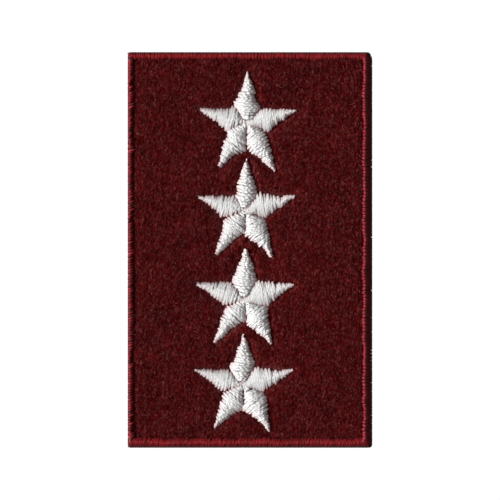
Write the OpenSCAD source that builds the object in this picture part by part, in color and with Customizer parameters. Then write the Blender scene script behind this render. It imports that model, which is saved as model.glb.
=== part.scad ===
// Cloth rank patch for the front of a beret: a napped wool ground, a stitched
// edge and four embroidered stars, lying on its back with its face up (+Z).
// The origin is on the back face, in the middle of the patch.

/* [Patch] */
// Width of the patch, over the edge stitching
patch_w = 30; // [27:0.5:33]
// Height of the patch, over the edge stitching
patch_h = 48.6; // [47.4:0.2:52]
// Radius of the outer corners
corner_r = 0.6; // [0.4:0.1:0.8]
// Thickness of the ground cloth
cloth_t = 1.3; // [1.2:0.1:2]

/* [Edge stitching] */
// Width of the stitched rib on the left side, seen from the front
rib_left = 0.75; // [0.55:0.05:0.9]
// Width of the rib on the right side
rib_right = 1.35; // [1:0.05:1.5]
// Width of the rib along the top
rib_above = 0.8; // [0.6:0.05:0.9]
// Width of the rib along the bottom
rib_below = 1.15; // [0.9:0.05:1.3]
// Height of the rib's crest above the cloth
rib_rise = 0.4; // [0.3:0.05:0.7]
// Thickness of the thread that wraps round the cloth's edge
wrap_t = 0.25; // [0.2:0.05:0.3]

/* [Stars] */
// Distance from a star's centre to the notch below its right point; the other
// notches lie at fixed shares of it
notch_r = 2.7; // [2.5:0.1:2.8]
// Height of a point's padding above the cloth, where it is widest
point_rise = 0.7; // [0.4:0.1:0.9]
// Half width of a point at its tip
tip_half_w = 0.14; // [0.1:0.02:0.2]
// How much a point's sides curve in between notch and tip, as a share
side_hollow = 0.06; // [0:0.01:0.08]
// Gap between two neighbouring points of one star
seam_gap = 0.08; // [0.04:0.02:0.12]

/* [Hidden] */
// Clearance between the cloth and what is stitched to it
seat_gap = 0.02;
// The wide part of the cloth, inside the rib
cloth_left = -patch_w / 2 + rib_left + seat_gap;
cloth_right = patch_w / 2 - rib_right - seat_gap;
cloth_bottom = -patch_h / 2 + rib_below + seat_gap;
cloth_top = patch_h / 2 - rib_above - seat_gap;
rib_top = cloth_t + rib_rise;
// Height at which the rib's outer side stands upright
rib_side_z = 0.4;
// Where the crest lies, as a share of the rib's width in from the outer edge
crest_u = 0.6;
// How far the underside rounds up into the outer side, as the same share
turn_u = 0.25;
// 1 gives round flanks; more gives flatter ones
outer_flank = 1.3;
// Steps along each quarter of the rib's profile
rib_steps = 6;

// The column of stars: centre x, centre y, tilt in degrees
STAR_X = 0;
STAR_Y = 1;
STAR_TILT = 2;
stars = [
    [-0.3,  15.7, -1.0],
    [-0.5,   4.9,  0.4],
    [-0.6,  -6.1, -0.8],
    [-0.8, -16.5, -0.4]
];

// The points of one star, anticlockwise: name, direction in degrees, length,
// and how far out the notch after it lies, as a share of notch_r
POINT_NAME = 0;
POINT_TURN = 1;
POINT_L = 2;
POINT_NOTCH = 3;
points = [
    ["right",        16.2, 6.2, 0.93],
    ["top",          90.0, 6.3, 0.93],
    ["left",        163.6, 6.3, 1.05],
    ["lower_left",  236.6, 6.5, 1.1],
    ["lower_right", 300.8, 6.7, 1]
];

// Distance from the star's centre at which a point's first stitch lies
point_start = 0.25;
// Sections along a point, up to its shoulders and beyond them
near_sections = 4;
far_sections = 8;
// Steps across a point's arch
arch_steps = 10;
// How fast the padding rises with a section's width
rise_power = 0.6;
// 1 gives round arches; more gives gentler flanks
arch_power = 2;

function node_name(star, point) =
    str("star_", star + 1, "_", points[point][POINT_NAME]);

// A quarter turn as points, from angle a to angle a + 90: an ellipse where
// flat is 1, with flatter flanks where it is more
function quarter(centre, radii, a, flat = 1) = [
    for (i = [0:rib_steps])
        let (t = a + 90 * i / rib_steps, c = cos(t), s = sin(t))
        [
            centre[0] + radii[0] * sign(c) * pow(abs(c), flat),
            centre[1] + radii[1] * sign(s) * pow(abs(s), flat)
        ]
];

// The rib's profile: x is the share of its width in from the outer edge, y the
// height. It arches over the cloth and drops down outside it.
rib_profile = concat(
    quarter([crest_u, cloth_t], [1 - crest_u, rib_rise], 0),
    quarter([crest_u, rib_side_z], [crest_u, rib_top - rib_side_z], 90, outer_flank),
    quarter([turn_u, wrap_t], [turn_u, wrap_t], 180),
    [[1, 0]]
);

// A rectangle with round corners, centred on the origin
module round_rect(w, h, r) {
    union() {
        square([w - 2 * r, h], center = true);
        square([w, h - 2 * r], center = true);
        for (x = [-1, 1]) for (y = [-1, 1])
            translate([x * (w / 2 - r), y * (h / 2 - r)]) circle(r, $fn = 48);
    }
}

// One side of the stitching, along Y on the left, mitred at both ends: rib is
// its width, after and before are those of the sides met at its two ends.
// side is its length and across the patch's size at right angles to it.
module rail(side, across, rib, after, before) {
    intersection() {
        translate([-across / 2, side / 2, 0]) rotate([90, 0, 0]) linear_extrude(side)
            polygon([for (p = rib_profile) [p[0] * rib, p[1]]]);
        linear_extrude(rib_top + 1) polygon([
            [-across / 2 - rib, -side / 2 - before],
            [-across / 2 + 2 * rib, -side / 2 + 2 * before],
            [-across / 2 + 2 * rib, side / 2 - 2 * after],
            [-across / 2 - rib, side / 2 + after]
        ]);
    }
}

// The rib all round, with a slot for the cloth's pressed edge
module edge_stitching() {
    color("#8c2a30") difference() {
        intersection() {
            union() {
                rail(patch_h, patch_w, rib_left, rib_above, rib_below);
                rotate(90) rail(patch_w, patch_h, rib_below, rib_left, rib_right);
                rotate(180) rail(patch_h, patch_w, rib_right, rib_below, rib_above);
                rotate(-90) rail(patch_w, patch_h, rib_above, rib_right, rib_left);
            }
            linear_extrude(rib_top + 1) round_rect(patch_w, patch_h, corner_r);
        }
        translate([0, 0, wrap_t]) linear_extrude(cloth_t - 2 * wrap_t)
            round_rect(patch_w - 2 * wrap_t, patch_h - 2 * wrap_t, corner_r - wrap_t);
    }
}

// The wool cloth: full thickness in the middle, pressed thin where the edge
// stitching wraps round it
module ground_cloth() {
    inset = wrap_t + seat_gap;
    color("#4a1214") union() {
        linear_extrude(cloth_t) translate([cloth_left, cloth_bottom])
            square([cloth_right - cloth_left, cloth_top - cloth_bottom]);
        translate([0, 0, inset]) linear_extrude(cloth_t - 2 * inset)
            round_rect(patch_w - 2 * inset, patch_h - 2 * inset, corner_r - wrap_t);
    }
}

// Half the angle between a point and its neighbour; step is +1 or -1
function half_angle(point, step) =
    let (
        n = len(points),
        other = points[(point + step + n) % n][POINT_TURN],
        apart = (step * (other - points[point][POINT_TURN]) + 360) % 360
    )
    apart / 2;

// Distance from the star's centre to the notch beside a point, on that side
function notch_at(point, step) =
    let (n = len(points))
    notch_r * points[step > 0 ? point : (point + n - 1) % n][POINT_NOTCH];

// Half width of a point on one side, at a distance s from the star's centre.
// It widens along the seam with its neighbour and narrows from notch to tip.
function half_w(s, point, step) =
    let (
        angle = half_angle(point, step),
        length = points[point][POINT_L],
        notch_s = notch_at(point, step) * cos(angle),
        notch_w = notch_at(point, step) * sin(angle),
        v = (s - notch_s) / (length - notch_s)
    )
    s <= notch_s
        ? s * tan(angle) - seam_gap / (2 * cos(angle))
        : notch_w * (1 - v) + tip_half_w * v
            - notch_w * side_hollow * sin(180 * v)
            - seam_gap / (2 * cos(angle)) * (1 - v);

// Half width of a point at its shoulders, taken as the mean of both sides
function shoulder_w(point) =
    (notch_at(point, 1) * sin(half_angle(point, 1))
        + notch_at(point, -1) * sin(half_angle(point, -1))) / 2;

// The distances of a point's sections: evenly up to the shoulders, then closer
// and closer together towards the tip
function section_distances(point) =
    let (
        shoulder = (notch_at(point, 1) * cos(half_angle(point, 1))
            + notch_at(point, -1) * cos(half_angle(point, -1))) / 2,
        length = points[point][POINT_L]
    )
    concat(
        [for (i = [0:near_sections - 1])
            point_start + (shoulder - point_start) * i / near_sections],
        [for (i = [0:far_sections]) shoulder + (length - shoulder) * sin(90 * i / far_sections)]
    );

// One section of a point, as an arch over its flat seat
function section(s, point) =
    let (
        left = half_w(s, point, 1),
        right = half_w(s, point, -1),
        middle = (left - right) / 2,
        half = (left + right) / 2,
        rise = point_rise * pow(min(half / shoulder_w(point), 1), rise_power)
    )
    [for (j = [0:arch_steps])
        let (a = 180 * j / arch_steps)
        [s, middle + half * cos(a), rise * pow(sin(a), arch_power)]];

// Triangles of the skin between rings of n points each
function skin(rings, n) = [
    for (i = [0:rings - 2]) for (j = [0:n - 1]) for (second = [false, true])
        let (a = i * n + j, b = i * n + (j + 1) % n)
        second ? [a, b + n, a + n] : [a, b, b + n]
];

// One satin-stitched point of a star, padded, lying along +X
module star_point_shape(point) {
    distances = section_distances(point);
    n = arch_steps + 1;
    last = (len(distances) - 1) * n;
    polyhedron(
        points = [for (s = distances) each section(s, point)],
        faces = concat(
            skin(len(distances), n),
            [[for (j = [n - 1:-1:0]) j], [for (j = [0:n - 1]) last + j]]
        )
    );
}

module star_point(star, point) {
    color("#e8e6e1")
        translate([stars[star][STAR_X], stars[star][STAR_Y], cloth_t + seat_gap])
            rotate(stars[star][STAR_TILT] + points[point][POINT_TURN])
                star_point_shape(point);
}

ground_cloth();
edge_stitching();
for (star = [0:len(stars) - 1]) for (point = [0:len(points) - 1])
    star_point(star, point);
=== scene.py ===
import bpy
import numpy as np
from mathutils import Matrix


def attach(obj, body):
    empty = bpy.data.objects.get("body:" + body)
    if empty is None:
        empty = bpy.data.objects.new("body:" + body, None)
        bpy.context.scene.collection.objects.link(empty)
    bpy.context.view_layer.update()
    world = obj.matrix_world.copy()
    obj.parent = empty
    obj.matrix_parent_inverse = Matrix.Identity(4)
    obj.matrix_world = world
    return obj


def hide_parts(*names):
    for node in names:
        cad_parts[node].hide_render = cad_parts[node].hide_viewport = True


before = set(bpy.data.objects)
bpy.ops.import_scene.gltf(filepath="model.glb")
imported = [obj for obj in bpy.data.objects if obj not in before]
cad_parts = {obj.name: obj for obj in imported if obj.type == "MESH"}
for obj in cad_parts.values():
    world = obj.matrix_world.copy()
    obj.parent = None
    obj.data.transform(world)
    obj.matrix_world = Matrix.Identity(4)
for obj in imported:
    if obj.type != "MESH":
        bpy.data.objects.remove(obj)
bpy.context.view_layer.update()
print("frame loaded,", len(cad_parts), "nodes")

mm = 0.001  # sizes below are in millimetres
chance = np.random.default_rng(11)  # seeded, so every run gives the same threads

# The patch as a whole: the same numbers as its solids
patch = {
    "width": 30.0,
    "height": 48.6,
    "face": 1.3,  # top of the cloth above the floor
}


# Shapes as arrays.
# A shape is a dictionary: points (n, 3) in mm, quads, tris, and for each point a place
# along and round its thread (uv), a tone that lightens or darkens it, a paleness and a
# normal, which is zero where the faces themselves give it.
def makeShape(points, quads, tris=np.zeros((0, 3), int), **values):
    points = points.reshape(-1, 3)
    n = len(points)
    shape = {"points": points, "quads": quads.reshape(-1, 4), "tris": tris.reshape(-1, 3)}
    blank = {"uv": np.zeros((n, 2)), "tone": np.ones(n), "pale": np.zeros(n), "normals": np.zeros((n, 3))}
    for title, standard in blank.items():
        shape[title] = values.get(title, standard).reshape(standard.shape)
    return turnedOut(shape)


# Faces point outwards where the volume, a sixth of the sum of a . (b x c) over all triangles,
# is above zero; otherwise every face is listed the other way round.
def turnedOut(shape):
    p, q = shape["points"], shape["quads"]
    triangles = np.concatenate([q[:, [0, 1, 2]], q[:, [0, 2, 3]], shape["tris"]])
    a, b, c = (p[triangles[:, k]] for k in range(3))
    if (a * np.cross(b, c)).sum() < 0:
        shape["quads"] = q[:, ::-1]
        shape["tris"] = shape["tris"][:, ::-1]
    return shape


# The given arrays as the last axis of one.
def stacked(*arrays):
    return np.stack(np.broadcast_arrays(*arrays), axis=-1)


# One shape from several: each one's point numbers move up by the points before it.
def joinShapes(shapes):
    counts = np.cumsum([0] + [len(s["points"]) for s in shapes[:-1]])
    joined = {
        title: np.concatenate([s[title] for s in shapes])
        for title in ("points", "uv", "tone", "pale", "normals")
    }
    for title in ("quads", "tris"):
        joined[title] = np.concatenate([s[title] + c for s, c in zip(shapes, counts)])
    return joined


# Four point numbers for each cell (i, j) of a grid, from rows i, i + 1 and columns j, j + 1.
def gridQuads(rows, columns, roundRows=False, roundColumns=False):
    i = np.arange(rows if roundRows else rows - 1)[:, None]
    j = np.arange(columns if roundColumns else columns - 1)[None, :]
    nextRow, nextColumn = (i + 1) % rows, (j + 1) % columns
    return stacked(
        i * columns + j, i * columns + nextColumn,
        nextRow * columns + nextColumn, nextRow * columns + j,
    ).reshape(-1, 4)


# Three point numbers for each side of a cone, from a ring of count points to a pole.
def poleTris(first, count, pole):
    j = np.arange(count)
    return stacked(first + j, first + (j + 1) % count, pole)


# The cones at both ends of a tube, whose poles are the two points after its rings.
def endTris(rings, around):
    last = rings * around
    return np.concatenate([poleTris(0, around, last)[:, ::-1], poleTris(last - around, around, last + 1)])


# v / |v|.
def unit(vectors):
    return vectors / np.maximum(np.linalg.norm(vectors, axis=-1, keepdims=True), 1e-9)


# Many threads at once. path is (threads, steps, 3), across points over each thread's width.
# Ring point = path + across * halfWidth * sin(turn) - up * halfHeight * cos(turn),
# with up square to path and across; both ends close on a pole at the path's end. Where
# roundness is given, normals lean by across * sin(turn) * roundness on all but the underside.
def threadTubes(path, across, halfWidth, halfHeight, sides, tone, pale=0.0, roundness=0.0):
    threads, steps = path.shape[:2]
    halfWidth, halfHeight = (np.broadcast_to(size, (threads, steps)) for size in (halfWidth, halfHeight))
    tangent = unit(np.gradient(path, axis=1))
    across = unit(across - (across * tangent).sum(-1, keepdims=True) * tangent)
    up = np.cross(tangent, across)
    turn = 2 * np.pi * np.arange(sides) / sides
    ring = (
        path[:, 1:-1, None, :]
        + (across * halfWidth[..., None])[:, 1:-1, None, :] * np.sin(turn)[:, None]
        - (up * halfHeight[..., None])[:, 1:-1, None, :] * np.cos(turn)[:, None]
    )
    rings = steps - 2
    last = rings * sides
    points = np.concatenate([ring.reshape(threads, -1, 3), path[:, [0, -1]]], axis=1)
    perThread = last + 2
    quads = gridQuads(rings, sides, roundColumns=True)
    tris = endTris(rings, sides)
    starts = (np.arange(threads) * perThread)[:, None, None]
    along = np.cumsum(np.linalg.norm(np.diff(path, axis=1), axis=-1), axis=1)
    along = np.concatenate([np.zeros((threads, 1)), along], axis=1) + 3 * chance.random((threads, 1))
    uv = np.zeros((threads, perThread, 2))
    uv[:, :last, 0] = np.repeat(along[:, 1:-1], sides, axis=1)
    uv[:, :last, 1] = np.tile(np.arange(sides) / sides, rings)
    uv[:, last:, 0] = along[:, [0, -1]]
    tones, pales = (
        np.broadcast_to(np.asarray(value, float).reshape(-1, 1), (threads, perThread)).copy()
        for value in (tone, pale)
    )
    normals = np.zeros((threads, perThread, 3))
    if roundness:
        facing = np.where(np.cos(turn) > 0.7, -1.0, 1.0)[:, None]
        lean = across[:, 1:-1, None, :] * np.sin(turn)[:, None] * roundness
        normals[:, :last] = unit(up[:, 1:-1, None, :] * facing + lean).reshape(threads, -1, 3)
        normals[:, last:] = up[:, [0, -1]]
    return makeShape(
        points, quads + starts, tris + starts, uv=uv, tone=tones, pale=pales, normals=normals
    )


# A closed skin over rings of points, (rings, around, 3), with a pole at each end's middle.
def skinnedRings(rings, tone):
    count, around = rings.shape[:2]
    points = np.concatenate([rings.reshape(-1, 3), [rings[0].mean(0)], [rings[-1].mean(0)]])
    quads = gridQuads(count, around, roundColumns=True)
    return makeShape(points, quads, endTris(count, around), tone=np.full(len(points), tone))


# Puts a mesh, lamp or camera into the scene.
def addObject(name, data):
    made = bpy.data.objects.new(name, data)
    bpy.context.scene.collection.objects.link(made)
    return made


# A shape as a mesh object in metres, tied to the frame.
def addPiece(name, shape, material, standsFor):
    mesh = bpy.data.meshes.new(name)
    faces = shape["quads"].tolist() + shape["tris"].tolist()
    mesh.from_pydata((shape["points"] * mm).tolist(), [], faces)
    corners = np.empty(len(mesh.loops), np.int32)
    mesh.loops.foreach_get("vertex_index", corners)
    layer = mesh.uv_layers.new(name="threadMap")
    layer.data.foreach_set("uv", shape["uv"][corners].astype(np.float32).ravel())
    for title in ("tone", "pale"):
        layer = mesh.attributes.new(title, "FLOAT", "POINT")
        layer.data.foreach_set("value", shape[title].astype(np.float32))
    mesh.shade_smooth()
    if shape["normals"].any():
        mesh.normals_split_custom_set_from_vertices(shape["normals"].tolist())
    mesh.materials.append(bpy.data.materials[material])
    piece = addObject(name, mesh)
    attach(piece, "root")
    if standsFor:
        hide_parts(standsFor)
    return piece


# Materials.
# A group of nodes with sockets given as (title, kind) or (title, kind, value).
def newGroup(name, inputs, outputs):
    group = bpy.data.node_groups.new(name, "ShaderNodeTree")
    for way, sockets in (("INPUT", inputs), ("OUTPUT", outputs)):
        for title, kind, *value in sockets:
            socket = group.interface.new_socket(name=title, in_out=way, socket_type="NodeSocket" + kind)
            if value:
                socket.default_value = value[0]
    return group, group.nodes.new("NodeGroupInput").outputs, group.nodes.new("NodeGroupOutput")


# Links the inputs that a socket is given for, and sets the others.
def setInputs(tree, node, values):
    for title, value in values.items():
        if isinstance(value, bpy.types.NodeSocket):
            tree.links.new(value, node.inputs[title])
        else:
            node.inputs[title].default_value = value


# A shader node with its inputs and settings.
def addNode(tree, kind, values=None, **settings):
    node = tree.nodes.new("ShaderNode" + kind)
    for title, value in settings.items():
        setattr(node, title, value)
    setInputs(tree, node, values or {})
    return node


# The result of one sum, product or the like.
def addMath(tree, operation, *values):
    return addNode(tree, "Math", dict(enumerate(values)), operation=operation).outputs[0]


# first * (1 - share) + second * share.
def mixedColor(tree, share, first, second):
    return addNode(tree, "Mix", {0: share, 6: first, 7: second}, data_type="RGBA").outputs[2]


# Height of a twisted yarn's strands: 0.5 + 0.5 sin(2 pi (strands * round + twist * along)),
# plus a noise. Shade is darker between the strands and, by the share |round - 0.5|, towards
# the thread's sides; the same noise makes both come and go along the thread.
def makeStrandGroup():
    group, given, made = newGroup(
        "threadStrands",
        [
            ("Place", "Vector"), ("Strands", "Float", 2.0), ("Twist per mm", "Float", 2.4),
            ("Filaments", "Float", 0.6), ("Groove shade", "Float", 0.75), ("Side shade", "Float", 0.8),
        ],
        [("Height", "Float"), ("Shade", "Float")],
    )
    place = addNode(group, "SeparateXYZ", {0: given["Place"]}).outputs
    across = addMath(group, "MULTIPLY", place["Y"], given["Strands"])
    along = addMath(group, "MULTIPLY", place["X"], given["Twist per mm"])
    phase = addMath(group, "ADD", across, along)
    wave = addMath(group, "SINE", addMath(group, "MULTIPLY", phase, 2 * np.pi))
    wave = addMath(group, "ADD", addMath(group, "MULTIPLY", wave, 0.5), 0.5)
    stretch = {0: given["Place"], 1: (3.6, 6.5, 1.0)}
    stretched = addNode(group, "VectorMath", stretch, operation="MULTIPLY").outputs[0]
    noise = addNode(group, "TexNoise", {"Vector": stretched, "Scale": 1.0, "Detail": 1.0}).outputs[0]
    fine = addMath(group, "MULTIPLY", noise, given["Filaments"])
    groove = addNode(group, "MapRange", {
        0: addMath(group, "ADD", wave, noise), "From Min": 0.42, "From Max": 0.7,
        "To Min": given["Groove shade"], "To Max": 1.0,
    })
    aside = addMath(group, "ABSOLUTE", addMath(group, "SUBTRACT", place["Y"], 0.5))
    side = addNode(group, "MapRange", {
        0: addMath(group, "ADD", aside, addMath(group, "MULTIPLY", noise, 0.5)),
        "From Min": 0.33, "From Max": 0.43, "To Min": 1.0, "To Max": given["Side shade"],
    })
    shade = addMath(group, "MULTIPLY", groove.outputs[0], side.outputs[0])
    setInputs(group, made, {"Height": addMath(group, "ADD", wave, fine), "Shade": shade})
    return group


# Two colours of fleece mixed by a fine and a broad noise; Place is in metres.
def makeMottleGroup():
    group, given, made = newGroup(
        "fleeceMottle",
        [
            ("Place", "Vector"), ("Dark", "Color", (0, 0, 0, 1)), ("Light", "Color", (1, 1, 1, 1)),
            ("Fine per m", "Float", 2500.0), ("Broad per m", "Float", 400.0),
        ],
        [("Color", "Color"), ("Height", "Float")],
    )
    fine, broad = (
        addNode(group, "TexNoise", {
            "Vector": given["Place"], "Scale": given[scale], "Detail": detail, "Roughness": roughness,
        }).outputs[0]
        for scale, detail, roughness in (("Fine per m", 3.0, 0.65), ("Broad per m", 1.0, 0.5))
    )
    share = addMath(
        group, "ADD", addMath(group, "MULTIPLY", fine, 0.7), addMath(group, "MULTIPLY", broad, 0.3)
    )
    spread = addNode(group, "MapRange", {0: share, "From Min": 0.34, "From Max": 0.66}).outputs[0]
    color = mixedColor(group, spread, given["Dark"], given["Light"])
    setInputs(group, made, {"Color": color, "Height": fine})
    return group


strandGroup = makeStrandGroup()
mottleGroup = makeMottleGroup()


# A new material's nodes and shader, with the shader's inputs set.
def newMaterial(name, values):
    material = bpy.data.materials.new(name)
    material.use_nodes = True
    tree = material.node_tree
    shader = tree.nodes["Principled BSDF"]
    setInputs(tree, shader, values)
    return tree, shader


# Colour times the thread's own tone, and a shade where one is given, over bumps of relief mm.
def colorAndBump(tree, shader, color, height, strength, relief, shade=1.0):
    tone = addNode(tree, "Attribute", attribute_name="tone").outputs["Fac"]
    scale = {0: color, "Scale": addMath(tree, "MULTIPLY", tone, shade)}
    bump = addNode(tree, "Bump", {"Strength": strength, "Distance": relief * mm, "Height": height})
    setInputs(tree, shader, {
        "Base Color": addNode(tree, "VectorMath", scale, operation="SCALE").outputs[0],
        "Normal": bump.outputs[0],
    })


# Thread whose colour turns towards a second one the lower it runs: on the stars the cloth's colour where it
# dips into the nap, on the edge a painted shade down its outer side and under the rib.
def makeThreadMaterial(name, look):
    tree, shader = newMaterial(name, {
        "Roughness": look["roughness"], "Specular IOR Level": look["specular"],
        "Sheen Weight": look["sheen"], "Sheen Roughness": 0.4,
        "Subsurface Weight": look["glow"], "Subsurface Radius": (1.0, 0.95, 0.95),
        "Subsurface Scale": 0.12 * mm,
    })
    place = addNode(tree, "TexCoord").outputs["Object"]
    # Share of that second colour, full below the cloth's face and none 0.42 mm above it; on the edge
    # threads this is painted shade.
    low = addNode(tree, "MapRange", {
        0: addNode(tree, "SeparateXYZ", {0: place}).outputs["Z"],
        "From Min": (patch["face"] - 0.1) * mm, "From Max": (patch["face"] + 0.42) * mm,
        "To Min": look["stainAndShade"], "To Max": 0.0,
    })
    strands = addNode(tree, "Group", {
        "Place": addNode(tree, "UVMap", uv_map="threadMap").outputs[0],
        "Twist per mm": look["twist"], "Groove shade": look["groove"], "Side shade": look["sideShade"],
    }, node_tree=strandGroup).outputs
    thin = addNode(tree, "Attribute", attribute_name="pale").outputs["Fac"]
    stainAndShadeShare = addMath(tree, "MAXIMUM", low.outputs[0], thin)
    color = mixedColor(tree, stainAndShadeShare, (*look["color"], 1), (*look["stainAndShadeColor"], 1))
    colorAndBump(tree, shader, color, strands["Height"], look["bump"], 0.07, strands["Shade"])


# Mottled fleece, with some fibres paler than the rest.
def makeWoolMaterial(name, look):
    tree, shader = newMaterial(name, {"Roughness": 0.95, "Specular IOR Level": look["specular"]})
    mottle = addNode(tree, "Group", {
        "Place": addNode(tree, "TexCoord").outputs["Object"],
        "Dark": (*look["dark"], 1), "Light": (*look["light"], 1),
    }, node_tree=mottleGroup).outputs
    pale = addNode(tree, "Attribute", attribute_name="pale").outputs["Fac"]
    color = mixedColor(tree, pale, mottle["Color"], (*look["pale"], 1))
    colorAndBump(tree, shader, color, mottle["Height"], 0.6, 0.05)


looks = {
    "woolGround": {
        "dark": (0.0402, 0.0003, 0.0004), "light": (0.078, 0.0013, 0.0016), "pale": (0.145, 0.066, 0.067),
        "specular": 0.04,
    },
    "stiffBacking": {
        "dark": (0.02, 0.018, 0.018), "light": (0.05, 0.046, 0.046), "pale": (0.05, 0.046, 0.046),
        "specular": 0.2,
    },
    "edgeThread": {
        # The edge thread's dark second colour is painted shade over its lower flanks and underside.
        "color": (0.245, 0.0082, 0.0115), "stainAndShadeColor": (0.075, 0.0028, 0.0036), "stainAndShade": 0.8, "glow": 0.0,
        "roughness": 0.55, "sheen": 0.1, "specular": 0.1, "twist": 1.6, "bump": 0.3, "groove": 0.7,
        "sideShade": 0.72,
    },
    "starThread": {
        "color": (0.932, 0.92, 0.905), "stainAndShadeColor": (0.8, 0.42, 0.43), "stainAndShade": 0.75, "glow": 0.2,
        "roughness": 0.5, "sheen": 0.0, "specular": 0.35, "twist": -1.6, "bump": 0.2, "groove": 0.5,
        "sideShade": 0.66,
    },
}
# Left and right edge thread: glossier, and bluer, which partly paints in the pinkish tint of the highlights
# on these two sides.
looks["edgeSideThread"] = {
    **looks["edgeThread"], "color": (0.23, 0.0068, 0.0155), "roughness": 0.42, "specular": 0.34,
}
looks["starArmThread"] = {**looks["starThread"], "bump": 0.1, "groove": 0.68, "sideShade": 0.72}
for name, look in looks.items():
    makeMaterial = makeWoolMaterial if "pale" in look else makeThreadMaterial
    makeMaterial(name, look)
print("materials made")

# The stitched edge. Lists are for the bottom, right, top and left side.
edge = {
    "names": ["bottom", "right", "top", "left"],
    "ribs": [1.2, 1.18, 0.87, 0.65],  # how wide the rib is
    "rises": [0.28, 0.32, 0.26, 0.33],  # its crest above the cloth
    "crests": [0.5, 0.72, 0.42, 0.32],  # where the crest lies, as a share of the width
    "flatness": [1.3, 1.9, 1.3, 1.3],  # above 1 gives a straighter outer flank
    "sideZ": 0.4,  # height where the outer side stands upright
    "turn": 0.25,  # share of the width over which the underside rounds up
    "wrap": 0.25,  # height of that rounding
    # radii along X and Y, anticlockwise from the bottom left
    "corners": [(0.2, 0.2), (0.38, 0.38), (0.55, 1.05), (0.25, 0.25)],
    "padDepth": 0.13,  # how far the padding stays inside the rib's outline
    # the padding is darker than the threads: painted shade where it shows between them
    "padShade": 0.8,
    "dip": 0.12,  # how deep the stitches press the cloth beside them, and how far around
    "dipReach": 0.3,
    "under": 0.25,  # how much lower the cloth runs under them
    "sides": 6,
    "steps": 12,
    "pitches": [0.2, 0.21, 0.21, 0.33],  # from thread to thread
    "inner": [0.1, 0.2, 0.1, 0.04],  # how far neighbours lean into one hole, in pitches
    "outer": [0.1, 0.0, 0.05, 0.04],
    "leans": [0.3, 0.0, 0.15, -0.7],  # how far threads slant
    "leanStart": 1.5,  # how much more so at a side's start, and over how many mm
    "leanReach": 3.0,
    "upright": 12,  # how many threads from the start it takes to slant in full
    "backShift": 0.1,  # how far the threads run back under the cloth
    "ragged": [0.035, 0.03, 0.03, 0.07],  # how unevenly they end
    "halfWidths": [0.16, 0.145, 0.165, 0.15],
    "halfHeights": [0.035, 0.055, 0.035, 0.075],
    "proud": [0.045, 0.06, 0.05, 0.06],  # how far they stand out of the rib's outline
    "tones": [(0.9, 0.13), (1.1, 0.13), (1.0, 0.13), (1.18, 0.28)],  # how light, how unevenly
    "round": [0.9, 0.8, 0.9, 0.9],  # how round they look
    "jitter": 0.02,  # how unevenly they lie, also in height, and how uneven their width is
    "jitterZ": 0.012,
    "jitterWidth": 0.06,
    "wander": [(0.05, 0.9), (0.04, 2.3)],  # waves in the rib's width: share, radians per mm
}

# The four sides, anticlockwise: corner, direction, length and width of the rib
halfW, halfH = patch["width"] / 2, patch["height"] / 2
sideCorners = np.array([[-halfW, -halfH], [halfW, -halfH], [halfW, halfH], [-halfW, halfH]])
sideDirections = np.array([[1.0, 0], [0, 1], [-1, 0], [0, -1]])
sideLengths = np.array([patch["width"], patch["height"]] * 2)
ribWidths = np.array(edge["ribs"])
crestV, outerV, underV = 0.25, 0.62, 0.74  # where on v the crest, the wrap and the underside start


# The outline of side k's rib as share of its width from outside, and height, against v from
# 0 to 1: a quarter ellipse up the inner flank, a flatter quarter down the outer one, a
# quarter ellipse round to the underside, and a straight run inwards.
def ribTable(k):
    crest, power = edge["crests"][k], edge["flatness"][k]
    a = np.linspace(-0.25, np.pi / 2, 40)
    b = np.linspace(0, np.pi / 2, 60)[1:]
    c = np.linspace(0, np.pi / 2, 20)[1:]
    d = np.linspace(0, 1, 10)[1:]
    top, low = patch["face"] + edge["rises"][k], patch["face"] - edge["dip"]
    share = np.concatenate([
        crest + (1 - crest) * np.cos(a),
        crest * (1 - np.sin(b) ** power),
        edge["turn"] * (1 - np.cos(c)),
        edge["turn"] + (1 - edge["turn"]) * d,
    ])
    height = np.concatenate([
        low + (top - low) * np.sin(a),
        edge["sideZ"] + (top - edge["sideZ"]) * np.cos(b) ** power,
        edge["wrap"] * (1 - np.sin(c)),
        0 * d,
    ])
    v = np.concatenate([
        np.linspace(0, crestV, 40), np.linspace(crestV, outerV, 60)[1:],
        np.linspace(outerV, underV, 20)[1:], np.linspace(underV, 1, 10)[1:],
    ])
    return v, share, height, np.gradient(share, v), np.gradient(height, v)


ribTables = [ribTable(k) for k in range(4)]


# Distance in from the outer edge, and height, at v on side k's rib of the given width, moved
# inwards by depth: (share * width, height) + depth * (-height', share' * width) / length.
def ribPoint(k, v, width, depth):
    v, width = np.broadcast_arrays(v, width)
    place, *curves = ribTables[k]
    share, height, shareSlope, heightSlope = (np.interp(v, place, curve) for curve in curves)
    size = np.hypot(shareSlope * width, heightSlope)
    return share * width - depth * heightSlope / size, height + depth * shareSlope * width / size


# Where the inner end of a thread lies along a side, for its outer end at q. Near a corner
# it fans out: inner = w + q^2 / 4w for q < 2w, with w the neighbour's width.
def fannedPlace(q, k):
    length, before, after = sideLengths[k], ribWidths[k - 1], ribWidths[(k + 1) % 4]
    near = np.where(q < 2 * before, before + q ** 2 / (4 * before), q)
    r = length - q
    far = np.where(r < 2 * after, after + r ** 2 / (4 * after), r)
    return np.where(q < length / 2, near, length - far)


# The radii of a corner, along side k and across it.
def cornerRadii(k, corner):
    radii = edge["corners"][corner % 4]
    return radii if k % 2 == 0 else radii[::-1]


# How far the round corners cut in at q along side k: b (1 - sqrt(1 - (1 - q / a)^2)) near
# each, for a corner with radius a along the side and b across it.
def cornerCut(q, k):
    cut = 0 * q
    for corner, near in ((k, q), (k + 1, sideLengths[k] - q)):
        along, across = cornerRadii(k, corner)
        x = np.clip(1 - near / along, 0, 1 - 1e-6)
        cut = cut + across * (1 - np.sqrt(1 - x ** 2))
    return cut


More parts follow.
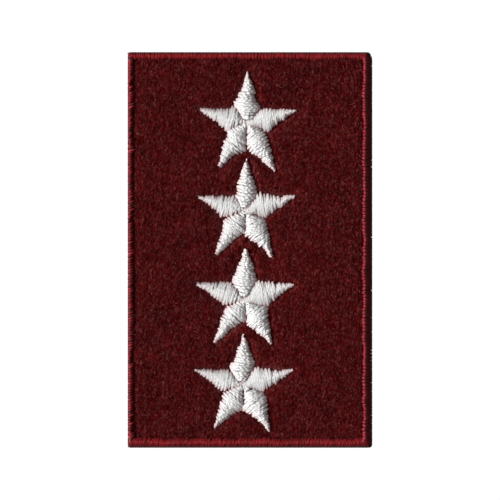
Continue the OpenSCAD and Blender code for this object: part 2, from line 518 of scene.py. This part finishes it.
# Where the threads of side k start and stop: halfway round its corners.
def sideEnds(k):
    share = 1 - np.sqrt(0.5)
    return share * cornerRadii(k, k)[0], sideLengths[k] - share * cornerRadii(k, k + 1)[0]


# Places from first to last along side k, evenly spaced along its outline: the inverse of the
# running sum of the steps' lengths, (dq^2 + dcut^2)^0.5.
def evenPlaces(k, first, last, pitch):
    q = np.linspace(first, last, 4000)
    run = np.concatenate([[0], np.cumsum(np.hypot(np.diff(q), np.diff(cornerCut(q, k))))])
    return np.interp(np.linspace(0, run[-1], int(round(run[-1] / pitch))), run, q)


# A point of side k at `along` mm from its corner and `inwards` mm from its outer edge.
def sidePoint(k, along, inwards, height):
    direction = sideDirections[k]
    inward = np.array([-direction[1], direction[0]])
    flat = sideCorners[k] + along[..., None] * direction + inwards[..., None] * inward
    return np.concatenate([flat, height[..., None]], axis=-1)


# One random value for each group of neighbours, the first group being short by `first`.
def perGroup(count, size, first=0):
    return chance.standard_normal(count // size + 2).repeat(size)[first:first + count]


# One side's threads. Each goes from its needle hole inside the rib over the crest, down the
# outer side and under the cloth. Neighbours lean together at their inner ends and, the other
# way about, at their outer ends, so that they run in a zigzag.
def sideThreads(k):
    length, width, pitch, thick = sideLengths[k], ribWidths[k], edge["pitches"][k], edge["halfHeights"][k]
    first, last = sideEnds(k)
    q = evenPlaces(k, first, last, pitch)
    count = len(q)
    q = q + chance.normal(0, edge["jitter"], count)
    pair = (-1.0) ** np.arange(count) * pitch
    outerAt = q - pair * edge["outer"][k]
    lean = edge["leans"][k] * width * (1 + edge["leanStart"] * np.exp(-q / edge["leanReach"]))
    lean = lean * np.clip(np.arange(count) / edge["upright"], 0, 1)
    innerAt, backAt = (
        fannedPlace(np.clip(place, 0.05, length - 0.05), k)
        for place in (q + pair * edge["inner"][k] + lean, outerAt - edge["backShift"])
    )
    cut = cornerCut(q, k)
    wander = sum(share * np.sin(q * rate + n * k) for n, (share, rate) in enumerate(edge["wander"], 1))
    ragged = edge["ragged"][k] * (chance.standard_normal(count) + perGroup(count, 2))
    span = (width - cut) * (1 + wander) + ragged
    v = np.linspace(0, 1, edge["steps"])[None, :]
    inwards, height = ribPoint(k, v, span[:, None], thick - edge["proud"][k])
    outerShare = np.clip(v / outerV, 0, 1)
    backShare = np.clip((v - outerV) / (1 - outerV), 0, 1)
    along = innerAt[:, None] + (outerAt - innerAt)[:, None] * outerShare
    along = along + (backAt - outerAt)[:, None] * backShare
    bulge = np.sin(np.pi * v)
    along = along + chance.normal(0, edge["jitter"], (count, 1)) * bulge
    height = height + chance.normal(0, edge["jitterZ"], (count, 1)) * bulge
    height = np.maximum(height, thick + 0.005)
    path = sidePoint(k, along, inwards + cut[:, None], height)
    across = np.append(sideDirections[k], 0.0)
    taper = 0.6 + 0.4 * np.sin(np.pi * np.clip(v * 1.6, 0, 1) / 2) ** 0.5
    wide = edge["halfWidths"][k] * taper * (1 + chance.normal(0, edge["jitterWidth"], (count, 1)))
    level, spread = edge["tones"][k]
    tone = level * np.clip(chance.normal(1, spread, count), 0.4, 1.8)
    return threadTubes(path, across, wide, thick, edge["sides"], tone, roundness=edge["round"][k])


# The dense padding under the threads: the rib's outline, a little smaller, all round.
def edgePadding():
    v = np.linspace(0, 1, 26)
    rings = []
    for k in range(4):
        first, last = sideEnds(k)
        near = 2.2 * np.linspace(0, 1, 12)[1:] ** 1.5
        q = np.concatenate([first + near, np.linspace(first + 2.4, last - 2.4, 24), last - near[::-1]])
        cut = cornerCut(q, k)
        span = (ribWidths[k] - cut)[:, None]
        inwards, height = ribPoint(k, v[None, :], span, edge["padDepth"])
        along = q[:, None] + (fannedPlace(q, k) - q)[:, None] * np.clip(inwards / span, 0, 1)
        rings.append(sidePoint(k, along, inwards + cut[:, None], height))
    rings = np.concatenate(rings)
    quads = gridQuads(len(rings), len(v), roundRows=True, roundColumns=True)
    # Its darker tone is painted shade in the gaps between the threads.
    return makeShape(rings, quads, tone=np.full(len(rings) * len(v), edge["padShade"]))


for k, name in enumerate(edge["names"]):
    material = "edgeSideThread" if name in ("left", "right") else "edgeThread"
    addPiece("edge" + name.capitalize(), sideThreads(k), material, "edge_stitching")
addPiece("edgePadding", edgePadding(), "edgeThread", "edge_stitching")
print("edge stitched")

chance = np.random.default_rng(12)

# The stars. The points are the right, top, left, lower left and lower right one, in each list.
stars = {
    "names": ["right", "top", "left", "lower_left", "lower_right"],
    "places": [(-0.3, 15.7, -1.0), (-0.5, 4.9, 0.4), (-0.6, -6.1, -0.8), (-0.8, -16.5, -0.4)],
    "turns": [
        [14.0, 91.0, 165.9, 238.5, 300.6], [15.4, 88.6, 164.5, 235.8, 297.8],
        [18.0, 90.6, 162.4, 235.7, 301.7], [16.6, 90.6, 164.0, 236.3, 299.1],
    ],
    "lengths": [
        [6.08, 6.17, 6.0, 6.51, 6.84], [6.13, 6.16, 5.99, 6.53, 6.5],
        [6.14, 6.15, 6.2, 6.44, 6.28], [6.25, 6.1, 6.16, 6.24, 6.56],
    ],
    "notches": [  # centre to the notch after each point
        [2.2, 2.5, 2.53, 3.34, 2.65], [2.82, 2.5, 3.0, 2.9, 2.53],
        [2.75, 2.75, 2.74, 2.6, 2.53], [2.72, 2.5, 2.74, 2.9, 2.38],
    ],
    "seams": [  # directions of those notches
        [47.5, 133.0, 204.5, 266.5, 335.0], [55.0, 127.5, 202.0, 269.0, 332.0],
        [57.5, 126.0, 198.5, 274.5, 339.5], [55.0, 131.5, 202.5, 271.5, 334.5],
    ],
    "bends": [  # how far a point's middle line bows to its left
        [0.14, 0.04, 0.07, -0.1, 0.14], [-0.12, 0.19, -0.14, -0.04, 0.23],
        [0.02, -0.02, -0.12, -0.03, 0.09], [-0.18, 0.02, -0.1, 0.04, 0.33],
    ],
    "fuller": [  # how much wider a point is at its notches than they lie
        [0.12, -0.11, 0.08, 0.16, -0.16], [-0.23, -0.37, -0.19, 0.01, 0.13],
        [0.09, -0.17, -0.14, -0.07, 0.27], [-0.04, -0.19, -0.13, 0.07, 0.37],
    ],
    "tips": [  # half width at a point's tip
        [0.12, 0.07, 0.25, 0.28, 0.16], [0.21, 0.14, 0.19, 0.22, 0.25],
        [0.18, 0.22, 0.28, 0.22, 0.14], [0.16, 0.1, 0.2, 0.25, 0.12],
    ],
    # for the two sides of each point, its left side first: how far a side goes on as wide
    # beyond its notch, and how much it curves in from there
    "shoulders": [(0.0, 0.35), (0.65, 0.6), (0.3, 0.0), (0.0, 0.0), (0.3, 0.3)],
    "hollows": [(0.06, 0.06), (0.07, 0.0), (0.06, 0.08), (0.1, 0.08), (0.12, 0.0)],
    "starts": [-0.15, 0.5, 0.2, 0.35, 0.6],  # centre to each point's first stitch
    # how far the stitches near the centre reach at least, to the left and to the right
    "firsts": [(0.4, 0.85), (0.45, 0.4), (0.35, 0.35), (0.1, 0.1), (0.3, 0.3)],
    "firstReach": 1.3,
    "slants": [0.12, 0.12, -0.06, 0.1, -0.1],  # how far the stitches turn from square
    "bows": [0.0, 0.5, 0.0, 0.25, 0.25],  # how far the first stitches sag inwards
    # how far a point lies over its seams, on its left and on its right
    "laps": [(0.08, 0.1), (0.16, 0.16), (0.1, 0.04), (0.0, 0.08), (0.08, -0.03)],
    "rises": [0.68, 0.72, 0.68, 0.7, 0.7],  # padding where a point is widest
    "risePower": 0.58,
    "fullness": 2.0,  # 1 makes an elliptical arch, 2 a parabola
    "padDepth": 0.13,  # how far the padding stays below the threads, and inside their ends
    "padInset": 0.19,
    # the padding is darker than the threads: painted shade where it shows between them
    "padShade": 0.75,
    "sink": 0.6,  # how deep their feet stand in the cloth, as a share of the edge's dip
    "footTurn": 0.4,  # how far the threads go on below their feet, in radians
    "seamEnd": 2.2,  # how far out the points lie over their seams, and how soon they stop
    "seamFade": 0.12,
    "tuck": 0.04,  # how far the threads' ends stay inside the outline
    "back": {"level": 0.16, "arch": 0.09, "half": 0.1, "thick": 0.045},  # the threads behind
    "pitch": 0.205,  # from one thread to the next
    "pairings": [0.5, 0.25, 0.5, 0.38, 0.4],  # how far neighbours lean into one hole, in pitches
    # how unevenly the threads turn, so that they cross here and there
    "crossings": [0.035, 0.05, 0.05, 0.045, 0.045],
    "ragged": 0.105,  # how unevenly the threads end: by twos, by fives and one by one
    "raggedShares": (0.6, 0.7, 0.35),
    "jitter": 0.02,  # how unevenly they lie, and how uneven their width is
    "jitterWidth": 0.06,
    "halfWidth": 0.155,
    "halfHeight": 0.015,
    "round": [0.12, 0.5, 0.12, 0.6, 0.6],  # how round the threads look
    "tones": [0.98, 0.96, 0.93, 0.94, 1.03],
    "tipStain": [0.6, 0.4, 0.6, 0.9, 0.8],  # cloth colour showing through the tips
    "waves": [0.015, 0.065, 0.025, 0.042, 0.05],  # how high the threads ripple along their length
    "waveLength": (0.45, 0.75),
    "waveShift": [0.0, -0.55, 0.0, 0.0, 0.0],  # from thread to thread, in waves
    "sides": 4,
    "steps": 19,
}
starSeat = patch["face"] - edge["dip"] * stars["sink"]


# The angle between a point and the seam on one side of it, in radians.
def seamAngle(star, index, step):
    seam = stars["seams"][star][index if step > 0 else index - 1]
    return np.radians(step * (seam - stars["turns"][star][index]) % 360)


# Half width of a point on one side, s mm from the star's centre: s * tan(angle) along the
# seam, as wide as that over the shoulder, then to the tip in a line with a slight hollow,
# bowed sideways by bend * sin(pi t) and a little fuller or slimmer near the notch.
def halfWidthAt(s, star, index, step):
    angle = seamAngle(star, index, step)
    notch = stars["notches"][star][index if step > 0 else index - 1]
    hollow, shoulder = (stars[title][index][0 if step > 0 else 1] for title in ("hollows", "shoulders"))
    notchS, notchW = notch * np.cos(angle), notch * np.sin(angle)
    t = np.clip((s - notchS - shoulder) / (stars["lengths"][star][index] - notchS - shoulder), 0, 1)
    sideways = step * stars["bends"][star][index] - notchW * hollow
    tapered = notchW * (1 - t) + stars["tips"][star][index] * t + sideways * np.sin(np.pi * t)
    fuller = stars["fuller"][star][index] * (1 - t) * np.clip(s / notchS, 0, 1) ** 4
    return np.where(s <= notchS, s * np.tan(angle), tapered) + fuller


# A place on a star: s mm out along a direction, then across to its left.
def onStar(star, turn, s, across, height):
    x, y, tilt = stars["places"][star]
    angle = np.radians(tilt + turn)
    return stacked(
        x + s * np.cos(angle) - across * np.sin(angle),
        y + s * np.sin(angle) + across * np.cos(angle),
        height,
    )


# (cos a, sin a, 0) for a point's angle a.
def directionOf(star, index):
    angle = np.radians(stars["places"][star][2] + stars["turns"][star][index])
    return np.array([np.cos(angle), np.sin(angle), 0.0])


# Height of a point's padding where its half width is `half`: rise * (half / widest)^power.
def padRise(star, index, half):
    angles = seamAngle(star, index, 1), seamAngle(star, index, -1)
    notches = stars["notches"][star][index], stars["notches"][star][index - 1]
    widest = sum(n * np.sin(a) for n, a in zip(notches, angles)) / 2
    return stars["rises"][index] * np.clip(half / widest, 0.02, 1) ** stars["risePower"]


# Height of an arch of height 1 at the angle a: sin(a)^fullness, below zero outside its feet.
def archHeight(a):
    return np.sign(np.sin(a)) * np.abs(np.sin(a)) ** stars["fullness"]


# How far a point's threads reach at least on one side, s mm from the centre.
def leastReach(s, index, step):
    return np.maximum(stars["firsts"][index][0 if step > 0 else 1] * (s < stars["firstReach"]), 0.06)


# A sine wave along x for each of count threads, of random length and phase.
def threadWaves(x, count, low, high):
    return np.sin(x * chance.uniform(low, high, (count, 1)) + chance.uniform(0, 6, (count, 1)))


# A point's satin threads: low arches over the padding, from one side of the point to the
# other. Each pair of neighbours bends together into one needle hole on either side in turn,
# by pair * (1 - 2 share)^3 with share from 0 to 1 across the point.
def satinThreads(star, index):
    turn, length = stars["turns"][star][index], stars["lengths"][star][index]
    start = stars["starts"][index]
    count = int(round((length - start) / stars["pitch"]))
    s = start + (np.arange(count) + 0.5) * (length - start) / count
    half = (halfWidthAt(s, star, index, 1) + halfWidthAt(s, star, index, -1)) / 2
    pair = (-1.0) ** np.arange(count) * stars["pairings"][index] * stars["pitch"]
    slant, crossing = stars["slants"][index] * half, stars["crossings"][index]
    sag = stars["bows"][index] * np.clip(1 - s / 2.6, 0, 1)
    sPlus = np.clip(s + slant + sag + chance.normal(0, crossing, count), start, length)
    sMinus = np.clip(s - slant + sag + chance.normal(0, crossing, count), start, length)
    seam = 1 / (1 + np.exp((s - stars["seamEnd"]) / stars["seamFade"]))
    uneven = stars["ragged"] * np.clip(half / 0.7, 0.4, 1)
    twos, fives, ones = stars["raggedShares"]
    ends = []
    for step, at, first in ((1, sPlus, 0), (-1, sMinus, 1)):
        wide = halfWidthAt(at, star, index, step) + stars["laps"][index][first] * seam - stars["tuck"]
        steps = twos * perGroup(count, 2, first) + fives * perGroup(count, 5)
        steps = steps + ones * chance.standard_normal(count)
        wide = wide + uneven * np.clip(steps, -1.8, 1.3)
        ends.append(np.maximum(wide, leastReach(s, index, step)))
    half, middle = (ends[0] + ends[1]) / 2, (ends[0] - ends[1]) / 2
    rise = padRise(star, index, half) * (1 + chance.normal(0, 0.015, count))
    a = np.arccos(np.linspace(1, -1, stars["steps"] - 2))
    a = np.concatenate([[-stars["footTurn"]], a, [np.pi + stars["footTurn"]]])[None, :]
    over = np.clip(a, 0, np.pi)
    share = (1 - np.cos(over)) / 2
    across = middle[:, None] + half[:, None] * np.cos(a)
    along = sPlus[:, None] + (sMinus - sPlus)[:, None] * share + pair[:, None] * (1 - 2 * share) ** 3
    along = along + (chance.normal(0, stars["jitter"], (count, 1)) - 1.3 * sag[:, None]) * np.sin(over)
    along = along + crossing * threadWaves(np.pi * share, count, 1, 3) * np.sin(over)
    height = starSeat + (rise[:, None] + patch["face"] - starSeat - stars["halfHeight"]) * archHeight(a)
    ripple = 4 * np.pi * half[:, None] * share / chance.uniform(*stars["waveLength"], (count, 1))
    phase = 2 * np.pi * (stars["waveShift"][index] * np.arange(count) + chance.normal(0, 0.15, count))
    if not stars["waveShift"][index]:
        phase = chance.uniform(0, 2 * np.pi, count)
    height = height + stars["waves"][index] * np.sin(ripple + phase[:, None]) * np.sin(over)
    path = onStar(star, turn, along, across, height)
    taper = 0.7 + 0.3 * np.sin(over) ** 0.6
    wide = stars["halfWidth"] * taper * (1 + chance.normal(0, stars["jitterWidth"], (count, 1)))
    wide = wide * (1 + 0.12 * threadWaves(share, count, 8, 16))
    tone = stars["tones"][index] * np.clip(chance.normal(1, 0.03, count), 0.9, 1.05)
    across = directionOf(star, index)
    stainAndShadeShare = stars["tipStain"][index] * np.clip(1 - (length - s) / 1.1, 0, 1)
    return threadTubes(
        path, across, wide, stars["halfHeight"], stars["sides"], tone, stainAndShadeShare, stars["round"][index]
    )


# The padding under one point's threads: arches like theirs, a little smaller.
def satinPadding(star, index):
    turn, length = stars["turns"][star][index], stars["lengths"][star][index]
    s = np.linspace(min(stars["starts"][index], 0.0), length - 0.15, 22)
    plus, minus = (
        np.maximum(halfWidthAt(s, star, index, step) - stars["padInset"], leastReach(s, index, step) - 0.05)
        for step in (1, -1)
    )
    half, middle = (plus + minus) / 2, (plus - minus) / 2
    a = np.linspace(0, np.pi, 13)[None, :]
    rise = np.maximum(padRise(star, index, half) + patch["face"] - starSeat - stars["padDepth"], 0.05)
    across = middle[:, None] + half[:, None] * np.cos(a)
    rings = onStar(star, turn, s[:, None], across, starSeat + rise[:, None] * archHeight(a))
    # Its darker tone is painted shade in the gaps between the threads.
    return skinnedRings(rings, stars["padShade"])


# The same stitches from behind: nearly flat threads from hole to hole, under the backing.
def bobbinThreads(star):
    shapes = []
    back = stars["back"]
    for index in range(5):
        turn, length = stars["turns"][star][index], stars["lengths"][star][index]
        count = int(round((length - 0.25) / stars["pitch"]))
        s = 0.25 + (np.arange(count) + 0.5) * (length - 0.25) / count + chance.normal(0, 0.04, count)
        plus, minus = (
            np.maximum(halfWidthAt(s, star, index, step) - 0.1 + chance.normal(0, 0.06, count), 0.06)
            for step in (1, -1)
        )
        half, middle = (plus + minus) / 2, (plus - minus) / 2
        a = np.linspace(-0.5, np.pi + 0.5, 8)[None, :]
        skew = chance.normal(0, 0.05, (count, 1))
        height = back["level"] - back["arch"] * np.sin(a) ** 2 * np.sign(np.sin(a))
        along = s[:, None] + skew * np.cos(a)
        path = onStar(star, turn, along, middle[:, None] + half[:, None] * np.cos(a), height)
        tone = np.clip(chance.normal(0.95, 0.03, count), 0.8, 1)
        across = directionOf(star, index)
        shapes.append(threadTubes(path, across, back["half"], back["thick"], 4, tone))
    return joinShapes(shapes)


for star in range(4):
    for index, name in enumerate(stars["names"]):
        shape = joinShapes([satinPadding(star, index), satinThreads(star, index)])
        title = "star" + str(star + 1) + "".join(word.capitalize() for word in name.split("_"))
        material = "starArmThread" if name in ("left", "right") else "starThread"
        piece = addPiece(title, shape, material, f"star_{star + 1}_{name}")
    addPiece("star" + str(star + 1) + "Back", bobbinThreads(star), "starThread", None)
print("stars stitched")


# Signed distance from the nearest star's outline, below zero inside. The outline joins tips and
# notches; the distance to each edge is |p - a - clip((p - a).e / e.e) * e|.
def starDistance(x, y):
    nearest = np.full(x.shape, 1e9)
    for star in range(4):
        corners = np.array([
            onStar(star, stars[turn][star][index], stars[reach][star][index], 0.0, 0.0)[:2]
            for index in range(5) for turn, reach in (("turns", "lengths"), ("seams", "notches"))
        ])
        inside = np.zeros(x.shape, bool)
        best = np.full(x.shape, 1e9)
        for a, b in zip(corners, np.roll(corners, -1, axis=0)):
            e = b - a
            t = np.clip(((x - a[0]) * e[0] + (y - a[1]) * e[1]) / (e @ e), 0, 1)
            best = np.minimum(best, np.hypot(x - a[0] - t * e[0], y - a[1] - t * e[1]))
            crossing = ((a[1] > y) != (b[1] > y)) & (x < a[0] + (y - a[1]) * e[0] / (e[1] + 1e-12))
            inside ^= crossing
        nearest = np.minimum(nearest, np.where(inside, -best, best))
    return nearest


# The wool cloth.
cloth = {
    "cell": (0.1, 0.16),  # size of a grid cell
    "inset": 0.3,  # from the patch's edge to the cloth's
    "low": 0.32,  # underside of the wool
    "yarnX": 0.508,  # from one upright yarn to the next
    "yarnY": 0.553,  # from one level yarn to the next
    "relief": 0.02,  # height of the yarns
    "ridges": 0.024,  # height of the brushed ridges over them
    "ridgeSize": (0.055, 0.08),
    "sway": 0.16,  # how far the yarns stray, in yarns, and over what distance
    "swaySize": (1.2, 1.2),
    "swell": 0.03,  # height and size of the cloth's slow unevenness
    "swellSize": (2.5, 2.5),
    "starDip": 0.2,  # how deep the stars' stitches pull the cloth down beside them
    "starDipReach": 0.7,
    "fine": 0.2,  # how unevenly light the cloth is, from fibre to fibre
    "fineSize": (0.05, 0.09),
    "broad": 0.08,  # and from place to place
    "broadSize": (0.4, 0.5),
    "starSideLight": 0.65,  # painted light: how much lighter the nap is just right of the stars, on their side away from the lamp, and over what distance; left of them it is a little darker, painted shade
    "starSideLightReach": 0.75,
    "pale": 0.042,  # share of paler fibres, how it grows with the tone, and how uneven it is
    "paleSlope": 0.265,
    "paleSpread": 0.04,
    "fuzz": 0.2,  # more of them right beside the stars
    "fuzzReach": 0.2,
    "hairs": 33000,
    "hairLength": 0.3,
    "hairHalf": 0.023,
    "hairSpread": 36,  # degrees either side of upright
    "hairBend": 0.5,  # how far they turn from root to end, in radians, and how high they arch
    "hairLift": (0.03, 0.1),
}


# Distance from the rib's inner line, below zero under the rib.
def ribDistance(x, y):
    bottom, right, top, left = edge["ribs"]
    return np.minimum(
        np.minimum(x + halfW - left, halfW - right - x), np.minimum(y + halfH - bottom, halfH - top - y)
    )


# Plain weave: upright yarn n rises and falls as (-1)^n cos(pi row) with a round back
# cos(pi (col - n)), level yarns the other way; the higher of the two shows.
def weaveHeight(x, y, sway):
    column, row = x / cloth["yarnX"] + sway[0], y / cloth["yarnY"] + sway[1]
    n, m = np.round(column), np.round(row)
    upright = np.cos(np.pi * (column - n)) * 0.8 + 0.6 * np.cos(np.pi * (n + row))
    level = np.cos(np.pi * (row - m)) * 0.8 - 0.6 * np.cos(np.pi * (m + column))
    return np.maximum(upright, level)


# Lighter fibres are paler too: pale + slope * (tone - 1).
def paleness(tone):
    return np.clip(cloth["pale"] + cloth["paleSlope"] * (tone - 1), 0, 0.9)


# Places x and y on a sheet's grid, with cells of about the given size.
def sheetGrid(sheet):
    sizes = patch["width"] - 2 * sheet["inset"], patch["height"] - 2 * sheet["inset"]
    return np.meshgrid(*(
        np.linspace(-size / 2, size / 2, int(size / cell) + 1) for size, cell in zip(sizes, sheet["cell"])
    ))


# White noise on the cloth's grid, blurred to spots of about sizeX by sizeY: its spectrum
# times exp(-((kx sizeX)^2 + (ky sizeY)^2) / 2), brought back to a spread of 1.
def clothNoise(shape, spots):
    (stepX, stepY), (sizeX, sizeY) = cloth["cell"], cloth[spots]
    ky = 2 * np.pi * np.fft.fftfreq(shape[0], stepY)[:, None]
    kx = 2 * np.pi * np.fft.rfftfreq(shape[1], stepX)[None, :]
    spectrum = np.fft.rfft2(chance.standard_normal(shape))
    blur = np.exp(-((kx * sizeX) ** 2 + (ky * sizeY) ** 2) / 2)
    soft = np.fft.irfft2(spectrum * blur, s=shape)
    return soft / soft.std()


# The wool's face on a grid: weave, ridges and swell, pressed down by dip * exp(-d / reach) at
# the distance d from edge and stars, and its tone and paleness.
def clothGrid():
    x, y = sheetGrid(cloth)
    sway = [cloth["sway"] * clothNoise(x.shape, "swaySize") for _ in range(2)]
    ridges = clothNoise(x.shape, "ridgeSize")
    z = patch["face"] + cloth["relief"] * (weaveHeight(x, y, sway) - 1)
    z = z + cloth["ridges"] * ridges + cloth["swell"] * clothNoise(x.shape, "swellSize")
    rib = ribDistance(x, y) / edge["dipReach"]
    z = z - edge["dip"] * np.exp(-np.maximum(rib, 0)) - edge["under"] * np.clip(-rib, 0, 1)
    apart = np.maximum(starDistance(x, y), 0)
    z = z - cloth["starDip"] * np.exp(-apart / cloth["starDipReach"])
    # How fast the distance from the stars grows to the right; with it the tone below paints light on the
    # nap right of the stars and a little shade left of them.
    facing = np.clip(np.gradient(apart, x[0, 1] - x[0, 0], axis=1), -0.2, 1)
    fine = cloth["fine"] * clothNoise(x.shape, "fineSize")
    broad = cloth["broad"] * clothNoise(x.shape, "broadSize")
    tone = np.exp(fine + broad + cloth["starSideLight"] * facing * np.exp(-(apart / cloth["starSideLightReach"]) ** 2))
    pale = paleness(np.exp(fine)) + cloth["paleSpread"] * clothNoise(x.shape, "fineSize")
    pale = np.clip(pale + cloth["fuzz"] * np.exp(-apart / cloth["fuzzReach"]), 0, 0.9)
    return x, y, z, tone, pale


# A grid with a rim down to a flat level, closed there by a fan from its middle.
def sheetShape(x, y, z, level, tone=1.0, pale=0.0):
    rows, columns = x.shape
    top = stacked(x, y, z).reshape(-1, 3)
    number = np.arange(rows * columns).reshape(rows, columns)
    rim = np.concatenate([number[0, :-1], number[:-1, -1], number[-1, :0:-1], number[:0:-1, 0]])
    lower = top[rim].copy()
    lower[:, 2] = level
    n, r = len(top), len(rim)
    points = np.concatenate([top, lower, [[x.mean(), y.mean(), level]]])
    k = np.arange(r)
    walls = stacked(rim, n + k, n + (k + 1) % r, rim[(k + 1) % r])
    tones, pales = np.ones(len(points)), np.zeros(len(points))
    tones[:n] = np.broadcast_to(tone, x.shape).ravel()
    pales[:n] = np.broadcast_to(pale, x.shape).ravel()
    quads = np.concatenate([gridQuads(rows, columns), walls])
    return makeShape(points, quads, poleTris(n, r, n + r)[:, ::-1], tone=tones, pale=pales)


# Short fleece hairs lying on the cloth: each is a thin spindle from its root over a low
# hump, root + direction * length * t, with height 4 t (1 - t) * lift.
def fleece(grid, count, low, high):
    x, y, z = grid[:3]
    rows, columns = x.shape
    px = chance.uniform(x.min(), x.max(), count * 2)
    py = chance.uniform(low, high, count * 2)
    keep = (ribDistance(px, py) > -0.05) & (starDistance(px, py) > 0.1)
    px, py = px[keep][:count], py[keep][:count]
    i, j = (
        np.clip(np.round((p - g.min()) / (g.max() - g.min()) * (size - 1)).astype(int), 0, size - 1)
        for p, g, size in ((py, y, rows), (px, x, columns))
    )
    root = z[i, j]
    n = len(px)
    angle = np.radians(90 + chance.normal(0, cloth["hairSpread"], n) + 180 * chance.integers(0, 2, n))
    length = cloth["hairLength"] * np.clip(chance.lognormal(0, 0.35, n), 0.4, 2.0)
    bend = chance.normal(0, cloth["hairBend"], n)
    lift = chance.uniform(*cloth["hairLift"], n)
    t = np.array([0, 0.35, 0.7, 1.0])[None, :]
    turned = angle[:, None] + bend[:, None] * t
    path = stacked(
        px[:, None] + length[:, None] * t * np.cos(turned),
        py[:, None] + length[:, None] * t * np.sin(turned),
        root[:, None] + 4 * t * (1 - t) * lift[:, None] + 0.02 * t,
    )
    across = stacked(-np.sin(turned), np.cos(turned), 0.0)
    half = cloth["hairHalf"] * chance.uniform(0.6, 1.4, (n, 1))
    tone = np.clip(chance.lognormal(0, 0.46, n), 0.3, 2.5)
    return threadTubes(path, across, half, 0.6 * half, 3, tone, paleness(tone))


grid = clothGrid()
woolShape = sheetShape(*grid[:3], cloth["low"], *grid[3:])
woolCloth = addPiece("woolCloth", woolShape, "woolGround", "ground_cloth")
addPiece("fleeceUpper", fleece(grid, cloth["hairs"] // 2, 0, halfH), "woolGround", None)
addPiece("fleeceLower", fleece(grid, cloth["hairs"] // 2, -halfH, 0), "woolGround", None)
print("wool woven and brushed")


# The stiff backing behind the wool: a thin sheet with a coarse weave pressed into it.
stiff = {
    "inset": 0.4,  # from the patch's edge to the backing's
    "low": 0.14,  # its underside
    "relief": 0.012,  # height of the weave, and from one of its bumps to the next
    "weave": 1.0,
    "cell": (0.249, 0.25),
}


# The underside is low + relief * cos(2 pi x / weave) * cos(2 pi y / weave).
def backingSheet():
    x, y = sheetGrid(stiff)
    waveX, waveY = (np.cos(2 * np.pi * place / stiff["weave"]) for place in (x, y))
    return sheetShape(x, y, stiff["low"] + stiff["relief"] * waveX * waveY, cloth["low"] - 0.02)


backing = addPiece("backing", backingSheet(), "stiffBacking", "ground_cloth")
print("backing laid")

# Floor, light and camera.
studio = {
    "floorSize": 0.8,
    "keyStrength": 4.55,
    "keyHeight": 36.0,  # degrees above the floor, from the left
    "keyAngle": 14.0,  # apparent size in degrees: how soft the shadows are
    "fill": 0.262,
    "frameWidth": 61.4,  # what the photograph's frame takes in, in mm, at the face
    "lens": 400.0,
    "sensor": 36.0,
}
floorMesh = bpy.data.meshes.new("floor")
half = studio["floorSize"] / 2
corners = [(half * x, half * y, 0) for x, y in ((-1, -1), (1, -1), (1, 1), (-1, 1))]
floorMesh.from_pydata(corners, [], [(0, 1, 2, 3)])

# White to the camera, but dark to light that would bounce back on to the patch
tree, shader = newMaterial("paleFloor", {
    "Base Color": (0.03, 0.03, 0.03, 1), "Roughness": 1.0, "Specular IOR Level": 0.0,
    "Emission Color": (1, 1, 1, 1),
})
setInputs(tree, shader, {"Emission Strength": addNode(tree, "LightPath").outputs["Is Camera Ray"]})
floorMesh.materials.append(bpy.data.materials["paleFloor"])
floor = addObject("floor", floorMesh)

world = bpy.data.worlds.new("studio")
bpy.context.scene.world = world
world.use_nodes = True
sky = world.node_tree.nodes["Background"]
setInputs(world.node_tree, sky, {"Color": (1, 1, 1, 1), "Strength": studio["fill"]})

key = bpy.data.lights.new("key", "SUN")
key.energy = studio["keyStrength"]
key.angle = np.radians(studio["keyAngle"])
addObject("key", key).rotation_euler = (0, np.radians(studio["keyHeight"] - 90), 0)

lens = bpy.data.cameras.new("camera")
lens.lens = studio["lens"]
lens.sensor_width = studio["sensor"]
lens.clip_start = 0.01
camera = addObject("camera", lens)
away = studio["frameWidth"] * studio["lens"] / studio["sensor"]
camera.location = (0, 0, (away + patch["face"]) * mm)
bpy.context.scene.camera = camera
bpy.context.scene.view_settings.view_transform = "Standard"
print("studio lit")
